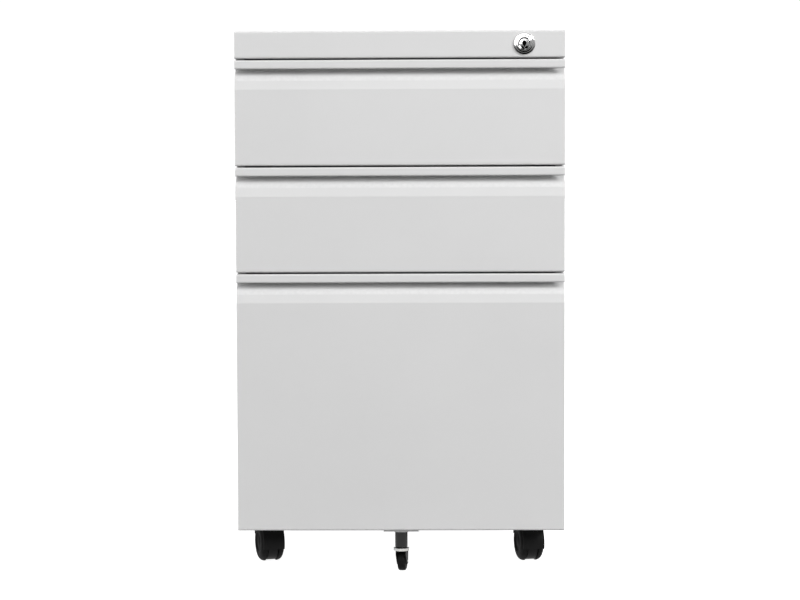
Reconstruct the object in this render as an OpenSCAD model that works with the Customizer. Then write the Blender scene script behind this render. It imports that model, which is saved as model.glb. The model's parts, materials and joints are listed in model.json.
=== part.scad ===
// Mobile steel pedestal: a filing cabinet on castors, with two box drawers, a file drawer and a lock.
// Millimetres. The origin is on the floor under the middle of the body.
// Drawers open towards -Y and +Z is up.

/* [Body] */
// Width of the body
cab_w = 390; // [388:1:450]
// Depth of the body, from the drawer fronts to the back panel
cab_d = 500; // [480:5:600]
// Height of the lower edge of the body above the floor
body_z = 56; // [56:0.5:60]
// Height of the fascia that holds the lock
fascia_h = 32; // [30:1:40]
// Thickness of the steel sheet
sheet_t = 1; // [0.8:0.1:1.2]

/* [Drawers] */
// Height of the fronts of the two box drawers
box_front_h = 124.5; // [118:0.5:160]
// Height of the front of the file drawer
file_front_h = 307; // [300:1:340]
// Height of the trays of the box drawers
box_tray_h = 88; // [82:1:90]
// Height of the tray of the file drawer
file_tray_h = 246; // [240:1:260]
// Gap between one front and the next
gap = 2; // [1.5:0.1:3]
// Thickness of a drawer front
front_t = 18; // [16:0.5:20]
// Length of the slides, which is also how far a drawer opens
slide_len = 400; // [350:50:400]

/* [Pull] */
// Height of the rolled lip along the top of each front
lip_h = 10.4; // [8:0.2:12]
// Thickness of the rolled lip
lip_t = 4; // [3.5:0.1:5]
// Height from the top of a front down to the crease where the pull recess ends
recess_h = 34.5; // [30:0.5:40]

/* [Castors] */
// Radius of the main castor wheels
wheel_r = 24; // [22:0.5:24]
// Width of a main castor over both wheels
castor_w = 29.5; // [29:0.5:38]
// Distance from the swivel axis of a main castor back to its axle
castor_trail = 15; // [12:0.5:16]
// Radius of the wheel of the fifth castor
fifth_wheel_r = 11.5; // [9:0.5:11.5]
// Height of the fifth castor's wheel above the floor
fifth_lift = 2; // [1:0.5:3]

/* [Lock] */
// Distance of the lock from the middle of the body
lock_x = 147; // [120:1:150]
// Diameter of the lock's front ring
lock_d = 26; // [24:0.5:28]
// Throw radius of the lock's crank pin
crank_r = 8; // [7:0.5:8]

/* [Hidden] */
$fn = 64;
fold_steps = 5;

light_grey = [0.84, 0.84, 0.85];
black = [0.08, 0.08, 0.085];
zinc = [0.72, 0.73, 0.74];
chrome = [0.85, 0.86, 0.88];

// Body planes
half_w = cab_w / 2;
front_y = -cab_d / 2;
back_y = cab_d / 2;
flange_y = front_y + front_t + 1.5;   // front faces of the side panels
cab_h = body_z + file_front_h + 2 * box_front_h + 3 * gap + fascia_h;
fascia_z = cab_h - fascia_h;
floor_z = body_z + sheet_t;           // underside of the base pan
side_in = half_w - sheet_t;           // inner face of a side panel
fold_r = 1.5;                         // centre-line radius of most folds
flange_w = 10;                        // width of a side panel's front flange
skirt_h = 19;                         // height of the top cover's side skirts
back_flange_w = 15;
bottom_flange_w = 8;
inside_y = flange_y + sheet_t + 0.5;  // front of the parts that sit inside the side panels' flanges
pan_lip_h = 9;                        // height of the base pan's upturned edges
bumper_d = 6;
bumper_h = 1.2;
bumper_drop = 25;                     // from the top of a drawer front down to its bumpers

// Drawers: name, bottom of the front, height of the front, height of the tray, slide centre above the tray
file_z = body_z;
middle_z = file_z + file_front_h + gap;
top_z = middle_z + box_front_h + gap;
drawers = [
    ["top_drawer", top_z, box_front_h, box_tray_h, 36],
    ["middle_drawer", middle_z, box_front_h, box_tray_h, 36],
    ["file_drawer", file_z, file_front_h, file_tray_h, 132],
];
tray_rise = 12;                       // from the bottom of a front up to its tray
tray_half_w = half_w - 23;
tray_y = front_y + front_t;           // front of a tray
tray_back_y = tray_y + 417;
rim_w = 6;                            // width of a tray's folded rim
rail_spacing = 330;                   // clear distance between the hanging-file rails
rail_t = 2;
rail_h = 14;
pan_flange = 12;                      // depth of the side flanges of a front's backing pan
hem_h = 8;                            // height of the hem inside a lip
wall_drop = 12;                       // from the top of a front down to the recess's sloping floor
floor_drop = 20.5;                    // from the top of a front down to the recess's slanted band
floor_y = 2.8;                        // depth behind the face where the floor meets the band
top_fold_r = 1.2;                     // centre-line radii of the folds of a front
back_fold_r = 2;
wall_fold_r = 3;
band_fold_r = 10;
crease_fold_r = 2;
front_screw_x = [-120, 0, 120];
front_screw_rise = 0.6;               // part of a tray's height at which its front is screwed on

// Slides: outer, middle and inner members, each given as [x nearest the tray, x of its web, half height]
slide_y = front_y + 41;               // front end of the slides
slide_t = 1.2;
slide_face = tray_half_w;             // where the inner member meets the tray
outer_slide = [slide_face + 4, slide_face + 12.7, 22.5];
middle_slide = [slide_face + 3, slide_face + 9.4, 19.3];
inner_slide = [slide_face + 6.5, slide_face, 16];
upright_x = slide_face + 12.7;
upright_t = 1.2;
upright_z = [body_z + 6, fascia_z - 6];
upright_back = back_y - 10;
fixing_y = [19, slide_len / 2, slide_len - 25];   // screw places along a slide
rivet_d = 4;
head_d = 8;
head_h = 1.5;
hole_play = 0.1;

// Lock and lock bar
lock_z = fascia_z + fascia_h / 2;
lock_proud = 3;
barrel_d = 19;
barrel_back = front_y + 23.7;
plug_d = 13.8;
plug_set = 0.4;                       // how far the plug sits back in the ring
ring_land = 3;                        // width of the ring's conical edge
ring_edge_h = 0.8;                    // height of the ring's straight edge
key_depth = 14;
keyway = [[0, -4.4], [2.6, 0.6], [1.2, 3.4], [-1.2, 3.4], [-2.6, 0.6]];
nut_d = 27;
nut_t = 3;
tail = 3;                             // half the width of the plug's square tail
cam_d = 14;
cam_arm_w = 7;
cam_y = [front_y + 24, front_y + 26.5];
pin_d = 4;
pin_back = front_y + 32;
lock_turn = 90;
bar_rise = 2 * crank_r * sin(lock_turn / 2);
bar_x = [slide_face + 14, slide_face + 15.5];
bar_y = [front_y + 24, front_y + 34];
bar_z = [170, lock_z - bar_rise / 2 + 7];
arm_y = [front_y + 28.5, front_y + 30];
arm_h = 14;
slot_play = 0.6;                      // between the crank pin and the ends of the arm's slot
slot_wall = 6;
hook_y = [front_y + 26, front_y + 27.5];
hook_x = slide_face + 4;
hook_z = [23, 35];                    // bottom and top of a hook above the slide centre
catch_x = slide_face + 9;
weld_gap = 0.05;                      // between a tray and the catch that is welded to it
catch_y = [front_y + 32, front_y + 33.5];
catch_z = [36, 44];                   // bottom and top of a tray's catch above the slide centre
guide_y = [front_y + 22, slide_y];
guide_h = 14;
guide_z = [bar_z[0] + 10, middle_z - 35, top_z + 3];
guide_play = 0.3;
guide_wall = [1.2, 3];                // wall of a guide towards the drawers and towards the side panel

// Castors
castor_x = half_w - 34;
castor_front_y = front_y + 100;
castor_back_y = back_y - 55;
// Main castors: name, x, y, angle that the castor is turned to
castors = [
    ["front_left", -castor_x, castor_front_y, 17],
    ["front_right", castor_x, castor_front_y, 12],
    ["rear_left", -castor_x, castor_back_y, 14],
    ["rear_right", castor_x, castor_back_y, -20],
];
plate_w = 42;
plate_t = 2;
stem_d = 8;
hood_r = [wheel_r + 1, wheel_r + 3];
hood_w = castor_w - 2.4;
web_w = 12.8;
web_lift = 1.2;                       // how much smaller the web between the wheels is than a wheel
boss_d = 13;
collar_d = 24;
axle_d = 5;
wheel_in = 6.9;                       // inner face of a wheel, from the middle of its castor
dome_r = 7.5;                         // radius of the round outer edge of a wheel
axle_half = castor_w / 2 - 2.5;
castor_screw = 16;                    // half the spacing of a castor plate's screws
stem_z = wheel_r + 8;                 // lower end of a swivel stem
hood_slant = 14;                      // slope of the hood's lower edge
hub_r = 5;
rim_t = 4;                            // thickness of a wheel's rim
dish = 1.2;                           // depth of the round dish in a wheel's outer face

// Fifth castor, under the front of the file drawer
fifth_y = front_y + 26;
fifth_trail = 8;
fifth_angle = -9;                     // angle that the fifth castor is turned to
fifth_plate_t = 2;
fifth_axle_z = fifth_wheel_r + fifth_lift;
fifth_wheel_w = 9.6;
fifth_axle_d = 3;
fork_top = fifth_axle_z + fifth_wheel_r + 2.6;
fork_t = 1.2;
fork_half = fifth_wheel_w / 2 + 0.3 + fork_t;
fork_edge = 5;                        // from the swivel axis, and from the axle, to the fork's edges
cheek_drop = 5;                       // straight part of a fork cheek
cheek_end = [4, 3.5];                 // lower end of a cheek around the axle
cup_top = fork_top + 3.4;
cup_d = 18.5;
spacer_d = 15;
boss_h = 3;                           // boss on the bracket above the spacer
spacer_top = body_z - fifth_plate_t - boss_h;
bracket_y = [front_y + 4, front_y + 43];   // front edge and upright leg of the bracket
bracket_foot = 14;
kingpin_d = 6;
notch_y = front_y + 46;               // back of the base pan's notch for the fifth castor
notch_half = 30;

function in_drawer(part) = [for (d = drawers) str(d[0], "_", part)];
function in_castor(part) = [for (c = castors) str(c[0], "_castor_", part)];

// ---------- Helpers ----------

function unit(v) = v / norm(v);
function left_of(v) = [-v.y, v.x];
function backwards(list) = [for (i = [len(list) - 1:-1:0]) list[i]];

// Points of a fold of radius r at corner c, between p and q
function fold_points(p, c, q, r) =
    let (a = unit(p - c))
    let (b = unit(q - c))
    let (half = acos(a * b) / 2)
    let (middle = c + unit(a + b) * r / sin(half))
    let (start = c + a * r / tan(half) - middle)
    let (end = c + b * r / tan(half) - middle)
    [for (i = [0:fold_steps]) middle + r * unit(start + (end - start) * i / fold_steps)];

// An open path with each corner rounded to its own radius
function folded(path, radii) = [
    path[0],
    for (i = [1:len(path) - 2]) each fold_points(path[i - 1], path[i], path[i + 1], radii[i - 1]),
    path[len(path) - 1]
];

// An open path moved sideways by d
function beside(path, d) = [
    for (i = [0:len(path) - 1])
        let (before = unit(path[max(i, 1)] - path[max(i, 1) - 1]))
        let (next = min(i, len(path) - 2))
        let (after = unit(path[next + 1] - path[next]))
        let (m = left_of(before) + left_of(after))
        path[i] + m * d / (m * left_of(before))
];

// Section of a folded sheet along a centre-line
module sheet_section(path, radii, t = sheet_t) {
    line = folded(path, radii);
    polygon(concat(beside(line, t / 2), backwards(beside(line, -t / 2))));
}

// Rectangle with round corners
module rounded_plate(w, d, r) {
    x = w / 2;
    y = d / 2;
    corners = [[x, y], [-x, y], [-x, -y], [x, -y]];
    polygon([
        for (i = [0:3])
            each fold_points(corners[(i + 3) % 4], corners[i], corners[(i + 1) % 4], r)
    ]);
}

// A block between two opposite corners
module block(low, high) {
    translate(low)
        cube(high - low);
}

// Extrudes a section given in Y and Z along X, from x0 to x1
module along_x(x0, x1) {
    translate([x0, 0, 0])
        rotate([90, 0, 90])
            linear_extrude(x1 - x0)
                children();
}

// A round bar along X, Y or Z between two places on that axis
module rod_x(d, x0, x1) {
    translate([x0, 0, 0])
        rotate([0, 90, 0])
            cylinder(d = d, h = x1 - x0);
}

module rod_y(d, y0, y1) {
    translate([0, y1, 0])
        rotate([90, 0, 0])
            cylinder(d = d, h = y1 - y0);
}

module rod_z(d, z0, z1) {
    translate([0, 0, z0])
        cylinder(d = d, h = z1 - z0);
}

module on_both_sides() {
    children();
    mirror([1, 0, 0])
        children();
}

// ---------- Body shell ----------

// Top plate, fascia and the flange under the fascia, from one sheet
module top_cover() {
    mid = sheet_t / 2;
    fascia_back = front_y + front_t;
    edge = front_y + mid;
    color(light_grey)
        difference() {
            union() {
                along_x(-half_w, half_w)
                    sheet_section(
                        [
                            [fascia_back, fascia_z + mid],
                            [edge, fascia_z + mid],
                            [edge, cab_h - mid],
                            [back_y, cab_h - mid],
                        ],
                        [fold_r, fold_r]
                    );
                on_both_sides() {
                    // ends of the fascia
                    along_x(side_in, half_w)
                        polygon(folded(
                            [
                                [fascia_back, fascia_z + mid],
                                [edge, fascia_z + mid],
                                [edge, cab_h - mid],
                                [fascia_back, cab_h - mid],
                            ],
                            [fold_r, fold_r]
                        ));
                    // skirts inside the side panels
                    block(
                        [side_in - sheet_t, inside_y, cab_h - skirt_h],
                        [side_in, back_y - 3 * sheet_t, cab_h - mid]
                    );
                }
            }
            translate([lock_x, 0, lock_z])
                rod_y(barrel_d + 2 * hole_play, front_y - sheet_t, front_y + 2 * sheet_t);
        }
}

// Right side panel: skin, front and back flanges, and the flange that carries the base pan
module side_panel() {
    mid = sheet_t / 2;
    outer = half_w - mid;
    color(light_grey) {
        translate([0, 0, body_z])
            linear_extrude(cab_h - sheet_t - body_z)
                sheet_section(
                    [
                        [half_w - flange_w, flange_y + mid],
                        [outer, flange_y + mid],
                        [outer, back_y - 1.5 * sheet_t],
                        [half_w - back_flange_w, back_y - 1.5 * sheet_t],
                    ],
                    [fold_r, fold_r]
                );
        block(
            [half_w - bottom_flange_w, flange_y + 2 * sheet_t, body_z],
            [outer, back_y - 2 * sheet_t, floor_z]
        );
    }
}

module left_side_panel() {
    mirror([1, 0, 0])
        side_panel();
}

module back_panel() {
    color(light_grey)
        block(
            [-half_w + fold_r, back_y - sheet_t, body_z],
            [half_w - fold_r, back_y, cab_h - sheet_t]
        );
}

module castor_places() {
    for (c = castors)
        translate([c[1], c[2], 0])
            children();
}

module castor_screw_places() {
    castor_places()
        for (x = [-castor_screw, castor_screw], y = [-castor_screw, castor_screw])
            translate([x, y, 0])
                children();
}

// Floor of the body, with an upturned edge and a notch for the fifth castor
module base_pan() {
    lip_top = body_z + pan_lip_h;
    color(light_grey)
        difference() {
            union() {
                difference() {
                    block([-side_in, inside_y, floor_z], [side_in, back_y - 2 * sheet_t, lip_top]);
                    block(
                        [-side_in - 1, inside_y + sheet_t, floor_z + sheet_t],
                        [side_in + 1, back_y - 3 * sheet_t, lip_top + 1]
                    );
                }
                block(
                    [-notch_half - sheet_t, inside_y, floor_z],
                    [notch_half + sheet_t, notch_y + sheet_t, lip_top]
                );
            }
            block(
                [-notch_half, inside_y - 1, floor_z - 1],
                [notch_half, notch_y, lip_top + 1]
            );
            castor_screw_places()
                rod_z(rivet_d + 2 * hole_play, floor_z - 1, floor_z + 3);
        }
}

// Screw places along the two slides of a drawer
module slide_fixing_places(d) {
    for (y = fixing_y)
        translate([0, slide_y + y, slide_z(d)])
            children();
}

// Channel that carries the slides on the right, between the base pan and the fascia
module upright() {
    mid = upright_x + upright_t / 2;
    color(light_grey)
        difference() {
            translate([0, 0, upright_z[0]])
                linear_extrude(upright_z[1] - upright_z[0])
                    sheet_section(
                        [
                            [side_in, slide_y + upright_t / 2],
                            [mid, slide_y + upright_t / 2],
                            [mid, upright_back],
                            [side_in, upright_back],
                        ],
                        [fold_r, fold_r],
                        upright_t
                    );
            for (d = drawers)
                slide_fixing_places(d)
                    rod_x(rivet_d + 2 * hole_play, upright_x - 1, upright_x + 3);
        }
}

module left_upright() {
    mirror([1, 0, 0])
        upright();
}

// Screws of the outer slide members and of the castor plates
module cabinet_screws() {
    color(zinc) {
        on_both_sides()
            for (d = drawers)
                slide_fixing_places(d) {
                    rod_x(head_d, upright_x - slide_t - head_h, upright_x - slide_t);
                    rod_x(rivet_d, upright_x - slide_t - head_h / 2, upright_x + 3);
                }
        castor_screw_places() {
            rod_z(head_d, floor_z - plate_t - head_h, floor_z - plate_t);
            rod_z(rivet_d, floor_z - plate_t - head_h / 2, floor_z + 3);
        }
    }
}

// Soft stops on the front flanges of the body, two for each drawer
module front_bumpers() {
    color(black)
        on_both_sides()
            for (d = drawers)
                translate([half_w - flange_w / 2, 0, d[1] + d[2] - bumper_drop])
                    rod_y(bumper_d, flange_y - bumper_h, flange_y);
}

// ---------- Slides ----------

function tray_z(d) = d[1] + tray_rise;
function slide_z(d) = tray_z(d) + d[4];

// A channel of one slide member: web at x = member[1], lips reaching to x = member[0]
module slide_channel(member, inward) {
    web_in = member[1] - (inward ? slide_t : 0);
    web_out = web_in + slide_t;
    lip_x = [min(member[0], web_in), max(member[0], web_out)];
    h = member[2];
    translate([0, slide_y, 0])
        union() {
            block([web_in, 0, -h], [web_out, slide_len, h]);
            block([lip_x[0], 0, h - slide_t], [lip_x[1], slide_len, h]);
            block([lip_x[0], 0, -h], [lip_x[1], slide_len, -h + slide_t]);
        }
}

module outer_slides(d) {
    color(zinc)
        on_both_sides()
            difference() {
                translate([0, 0, slide_z(d)])
                    slide_channel(outer_slide, true);
                slide_fixing_places(d)
                    rod_x(rivet_d + 2 * hole_play, upright_x - 5, upright_x + 1);
            }
}

module middle_slides(d) {
    color(zinc)
        on_both_sides()
            translate([0, 0, slide_z(d)])
                slide_channel(middle_slide, true);
}

module inner_slides(d) {
    color(zinc)
        on_both_sides()
            difference() {
                translate([0, 0, slide_z(d)])
                    slide_channel(inner_slide, false);
                slide_fixing_places(d)
                    rod_x(rivet_d + 2 * hole_play, slide_face - 1, slide_face + 3);
            }
}

// ---------- Drawers ----------

// Outer skin of a drawer front: rolled lip, pull recess, face and bottom flange folded from one sheet
module drawer_front(d) {
    h = d[2];
    mid = sheet_t / 2;
    skin = front_t - sheet_t;         // depth left in front of the backing pan
    hem_r = (lip_t - sheet_t) / 2 - 0.2;
    wall = skin - mid;
    end_top = h - wall_drop + 5;      // top of the closed ends of the front
    below_wall = [
        [wall, h - wall_drop],
        [floor_y, h - floor_drop],
        [mid, h - recess_h],
        [mid, mid],
        [skin, mid],
    ];
    lower_folds = [wall_fold_r, band_fold_r, crease_fold_r, fold_r];
    color(light_grey)
        translate([0, front_y, d[1]]) {
            along_x(-half_w, half_w)
                sheet_section(
                    concat(
                        [
                            [lip_t - mid, h - lip_h + hem_h],
                            [lip_t - mid, h - lip_h + mid],
                            [mid, h - lip_h + mid],
                            [mid, h - mid],
                            [wall, h - mid],
                        ],
                        below_wall
                    ),
                    concat([hem_r, hem_r, top_fold_r, back_fold_r], lower_folds)
                );
            // ends of the box below the recess
            on_both_sides()
                along_x(side_in, half_w)
                    polygon(concat(
                        folded(concat([[wall, end_top]], below_wall), lower_folds),
                        [[skin, end_top]]
                    ));
        }
}

// Screws that hold a tray to its front
module front_screw_places(d) {
    for (x = front_screw_x)
        translate([x, 0, tray_z(d) + d[3] * front_screw_rise])
            children();
}

// Pan that closes the back of a drawer front
module backing_pan(d) {
    pan_y = front_y + front_t - sheet_t;
    color(light_grey)
        difference() {
            union() {
                block(
                    [-side_in, pan_y, d[1] + sheet_t],
                    [side_in, pan_y + sheet_t, d[1] + d[2] - sheet_t]
                );
                on_both_sides()
                    block(
                        [side_in - sheet_t, pan_y - pan_flange, d[1] + sheet_t],
                        [side_in, pan_y, d[1] + d[2] - recess_h - 3]
                    );
            }
            front_screw_places(d)
                rod_y(rivet_d + 2 * hole_play, pan_y - 1, pan_y + 2);
        }
}

// Tray with a folded rim, and on its right side the catch that the lock bar holds
module drawer_tray(d) {
    z = tray_z(d);
    wall = tray_half_w - sheet_t;
    rim = tray_half_w - rim_w;
    color(light_grey)
        difference() {
            block([-tray_half_w, tray_y, z], [tray_half_w, tray_back_y, z + d[3]]);
            block(
                [-wall, tray_y + sheet_t, z + sheet_t],
                [wall, tray_back_y - sheet_t, z + d[3] - sheet_t]
            );
            block(
                [-rim, tray_y + rim_w, z + sheet_t],
                [rim, tray_back_y - rim_w, z + d[3] + 1]
            );
            front_screw_places(d)
                rod_y(rivet_d + 2 * hole_play, tray_y - 1, tray_y + 2);
            on_both_sides()
                slide_fixing_places(d)
                    rod_x(rivet_d + 2 * hole_play, slide_face - 2, slide_face + 1);
        }
    color(light_grey)
        block(
            [tray_half_w + weld_gap, catch_y[0], slide_z(d) + catch_z[0]],
            [catch_x, catch_y[1], slide_z(d) + catch_z[1]]
        );
}

// Front screws, and the rivets that hold the inner slide members to the tray
module drawer_screws(d) {
    color(zinc) {
        front_screw_places(d) {
            rod_y(head_d, tray_y + sheet_t, tray_y + sheet_t + head_h);
            rod_y(rivet_d, tray_y - 4, tray_y + sheet_t + head_h / 2);
        }
        on_both_sides()
            slide_fixing_places(d) {
                rod_x(head_d, slide_face + slide_t, slide_face + slide_t + head_h);
                rod_x(rivet_d, slide_face - sheet_t, slide_face + slide_t + head_h / 2);
            }
    }
}

// Rails that A4 hanging files slide along, on the rim of the file tray
module hanging_file_rails() {
    d = drawers[2];
    z = tray_z(d) + d[3];
    color(light_grey)
        on_both_sides()
            block(
                [rail_spacing / 2, tray_y + 2, z],
                [rail_spacing / 2 + rail_t, tray_back_y - 2, z + rail_h]
            );
}

// ---------- Central lock ----------

module at_lock() {
    translate([lock_x, 0, lock_z])
        children();
}

// Barrel with a conical ring that stands proud of the fascia
module lock_housing() {
    proud_y = front_y - lock_proud;
    rim_r = lock_d / 2;
    bore_r = plug_d / 2 + hole_play;
    color(chrome)
        at_lock()
            rotate([-90, 0, 0])
                rotate_extrude()
                    polygon([
                        [bore_r, proud_y + plug_set],
                        [bore_r + plug_set, proud_y],
                        [rim_r - ring_land, proud_y],
                        [rim_r, front_y - ring_edge_h],
                        [rim_r, front_y],
                        [barrel_d / 2, front_y],
                        [barrel_d / 2, barrel_back],
                        [bore_r, barrel_back],
                    ]);
}

module lock_nut() {
    color(zinc)
        at_lock()
            difference() {
                translate([0, front_y + sheet_t + nut_t, 0])
                    rotate([90, 0, 0])
                        cylinder(d = nut_d, h = nut_t, $fn = 6);
                rod_y(barrel_d + 2 * hole_play, front_y, front_y + 2 * nut_t);
            }
}

// Plug with a keyway in front and a square tail behind
module lock_plug() {
    face_y = front_y - lock_proud + plug_set;
    color(chrome)
        at_lock() {
            difference() {
                rod_y(plug_d, face_y, barrel_back + 0.1);
                translate([0, face_y + key_depth, 0])
                    rotate([90, 0, 0])
                        linear_extrude(key_depth + 1)
                            polygon(keyway);
            }
            block([-tail, barrel_back, -tail], [tail, cam_y[1], tail]);
        }
}

// Crank on the tail of the plug; its pin lifts the lock bar
module lock_cam() {
    color(zinc)
        at_lock()
            rotate([0, lock_turn / 2, 0]) {
                difference() {
                    union() {
                        rod_y(cam_d, cam_y[0], cam_y[1]);
                        block([0, cam_y[0], -cam_arm_w / 2], [crank_r, cam_y[1], cam_arm_w / 2]);
                        translate([crank_r, 0, 0])
                            rod_y(cam_arm_w, cam_y[0], cam_y[1]);
                    }
                    rotate([0, -lock_turn / 2, 0])
                        block([-tail, cam_y[0] - 1, -tail], [tail, cam_y[1] + 1, tail]);
                }
                translate([crank_r, 0, 0])
                    rod_y(pin_d, cam_y[1], pin_back);
            }
}

// Strip that rises when the lock is turned, with a slotted arm for the crank pin and a hook for each drawer
module lock_bar() {
    pin_z = lock_z - bar_rise / 2;
    slot_end = pin_d / 2 + slot_play;
    slot_x = [lock_x + crank_r * cos(lock_turn / 2) - slot_end, lock_x + crank_r + slot_end];
    color(zinc)
        difference() {
            union() {
                block([bar_x[0], bar_y[0], bar_z[0]], [bar_x[1], bar_y[1], bar_z[1]]);
                block(
                    [slot_x[0] - slot_wall, arm_y[0], pin_z - arm_h / 2],
                    [bar_x[1], arm_y[1], pin_z + arm_h / 2]
                );
                for (d = drawers)
                    block(
                        [hook_x, hook_y[0], slide_z(d) + hook_z[0]],
                        [bar_x[1], hook_y[1], slide_z(d) + hook_z[1]]
                    );
            }
            block(
                [slot_x[0], arm_y[0] - 1, pin_z - slot_end],
                [slot_x[1], arm_y[1] + 1, pin_z + slot_end]
            );
        }
}

// Guides that the lock bar slides in, on the front of the right upright
module lock_bar_guides() {
    color(black)
        for (z = guide_z)
            translate([0, 0, z])
                difference() {
                    block(
                        [bar_x[0] - guide_wall[0], guide_y[0], 0],
                        [bar_x[1] + guide_wall[1], guide_y[1], guide_h]
                    );
                    block(
                        [bar_x[0] - guide_play, bar_y[0] - guide_play, -1],
                        [bar_x[1] + guide_play, bar_y[1] + guide_play, guide_h + 1]
                    );
                }
}

// ---------- Main castors ----------

// Plates screwed under the base pan, each with the stem that its castor turns on
module castor_plates() {
    color(zinc)
        castor_places() {
            translate([0, 0, floor_z - plate_t])
                linear_extrude(plate_t)
                    difference() {
                        rounded_plate(plate_w, plate_w, 4);
                        for (x = [-castor_screw, castor_screw], y = [-castor_screw, castor_screw])
                            translate([x, y])
                                circle(d = rivet_d + 2 * hole_play);
                    }
            rod_z(stem_d, stem_z, floor_z - plate_t);
        }
}

// Places a castor's own frame: swivel axis at the origin, axle behind it at y = castor_trail
module in_castor_frame(c) {
    translate([c[1], c[2], 0])
        rotate([0, 0, c[3]])
            children();
}

module at_axle() {
    translate([0, castor_trail, wheel_r])
        children();
}

// Hood over both wheels, with the web between them and the neck around the stem
module castor_hood(c) {
    top = floor_z - plate_t - 0.4;
    color(black)
        in_castor_frame(c)
            difference() {
                union() {
                    // shell over the wheels, open below a slanted edge
                    at_axle()
                        difference() {
                            rod_x(2 * hood_r[1], -hood_w / 2, hood_w / 2);
                            rod_x(2 * hood_r[0], -hood_w / 2 - 1, -web_w / 2);
                            rod_x(2 * hood_r[0], web_w / 2, hood_w / 2 + 1);
                            rotate([hood_slant, 0, 0])
                                block(-2 * wheel_r * [1, 1, 1], 2 * wheel_r * [1, 1, 0]);
                        }
                    at_axle()
                        rod_x(2 * (wheel_r - web_lift), -web_w / 2, web_w / 2);
                    rod_z(boss_d, stem_z - 4, top);
                    rod_z(collar_d, wheel_r + hood_r[0] + 0.5, top);
                }
                rod_z(stem_d + 2 * hole_play, stem_z - 0.5, top + 1);
                at_axle()
                    rod_x(axle_d, -web_w, web_w);
            }
}

module castor_axle(c) {
    color(zinc)
        in_castor_frame(c)
            at_axle()
                rod_x(axle_d, -axle_half, axle_half);
}

// Wheel on the +X side: a cup with a round outer edge, hollow on its inner side
module castor_wheel(c, side) {
    out = castor_w / 2;
    bore_r = axle_d / 2 + hole_play;
    rim_in = wheel_r - rim_t;
    dish_r = wheel_r / 2;
    color(black)
        in_castor_frame(c)
            at_axle()
                rotate([0, side * 90, 0])
                    rotate_extrude()
                        polygon(concat(
                            [[0, out - dish], [0, axle_half + 0.5], [bore_r, axle_half + 0.5]],
                            [[bore_r, wheel_in], [hub_r, wheel_in]],
                            [[hub_r, out - rim_t], [rim_in, out - dome_r]],
                            [[rim_in, wheel_in], [wheel_r - 1, wheel_in], [wheel_r, wheel_in + 1]],
                            fold_points([wheel_r, wheel_in], [wheel_r, out], [0, out], dome_r),
                            [[dish_r, out], [dish_r - dish, out - dish]]
                        ));
}

// ---------- Fifth castor ----------

module at_fifth() {
    translate([0, fifth_y, 0])
        children();
}

// Bracket between the bottom of the file drawer's front and its tray
module fifth_castor_bracket() {
    low = body_z - fifth_plate_t / 2;
    high = tray_z(drawers[2]) - fifth_plate_t / 2;
    color(light_grey)
        union() {
            along_x(-plate_w / 2, plate_w / 2)
                sheet_section(
                    [
                        [bracket_y[0], low],
                        [bracket_y[1], low],
                        [bracket_y[1], high],
                        [bracket_y[1] + bracket_foot, high],
                    ],
                    [2, 2],
                    fifth_plate_t
                );
            at_fifth()
                rod_z(spacer_d + 5, spacer_top, body_z - fifth_plate_t);
        }
}

// Block that brings the small castor down to the floor
module fifth_castor_spacer() {
    color(black)
        at_fifth()
            rod_z(spacer_d, cup_top, spacer_top);
}

// Ball cup and the pin that the fork turns on
module fifth_castor_kingpin() {
    color(zinc)
        at_fifth() {
            rod_z(cup_d, fork_top + 0.3, cup_top);
            rod_z(kingpin_d, fork_top - fork_t, cup_top - 1);
        }
}

// Places the fifth castor's own frame: swivel axis at the origin, axle behind it at y = fifth_trail
module in_fifth_frame() {
    translate([0, fifth_y, 0])
        rotate([0, 0, fifth_angle])
            children();
}

module at_fifth_axle() {
    translate([0, fifth_trail, fifth_axle_z])
        children();
}

// Bent fork: a top plate and two cheeks
module fifth_castor_fork() {
    cheek_in = fork_half - fork_t;
    color(black)
        in_fifth_frame()
            difference() {
                union() {
                    block(
                        [-fork_half, -fork_edge, fork_top - fork_t],
                        [fork_half, fifth_trail + fork_edge, fork_top]
                    );
                    on_both_sides()
                        along_x(cheek_in, fork_half)
                            polygon([
                                [-fork_edge, fork_top],
                                [-fork_edge, fork_top - cheek_drop],
                                [fifth_trail - cheek_end[0], fifth_axle_z - cheek_end[1]],
                                [fifth_trail + cheek_end[0], fifth_axle_z - cheek_end[1]],
                                [fifth_trail + fork_edge, fork_top - cheek_drop],
                                [fifth_trail + fork_edge, fork_top],
                            ]);
                }
                rod_z(kingpin_d + 2 * hole_play, fork_top - 2 * fork_t, fork_top + fork_t);
                at_fifth_axle()
                    rod_x(fifth_axle_d, -fork_half - 1, fork_half + 1);
            }
}

module fifth_castor_axle() {
    color(zinc)
        in_fifth_frame()
            at_fifth_axle()
                rod_x(fifth_axle_d, -fork_half - 0.4, fork_half + 0.4);
}

module fifth_castor_wheel() {
    half = fifth_wheel_w / 2;
    bore_r = fifth_axle_d / 2 + hole_play;
    round_r = 2.5;
    low = [fifth_wheel_r, -half];
    high = [fifth_wheel_r, half];
    color(black)
        in_fifth_frame()
            at_fifth_axle()
                rotate([0, 90, 0])
                    rotate_extrude()
                        polygon(concat(
                            [[bore_r, half], [bore_r, -half]],
                            fold_points([0, -half], low, high, round_r),
                            fold_points(low, high, [0, half], round_r)
                        ));
}

// ---------- Nodes ----------

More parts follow.
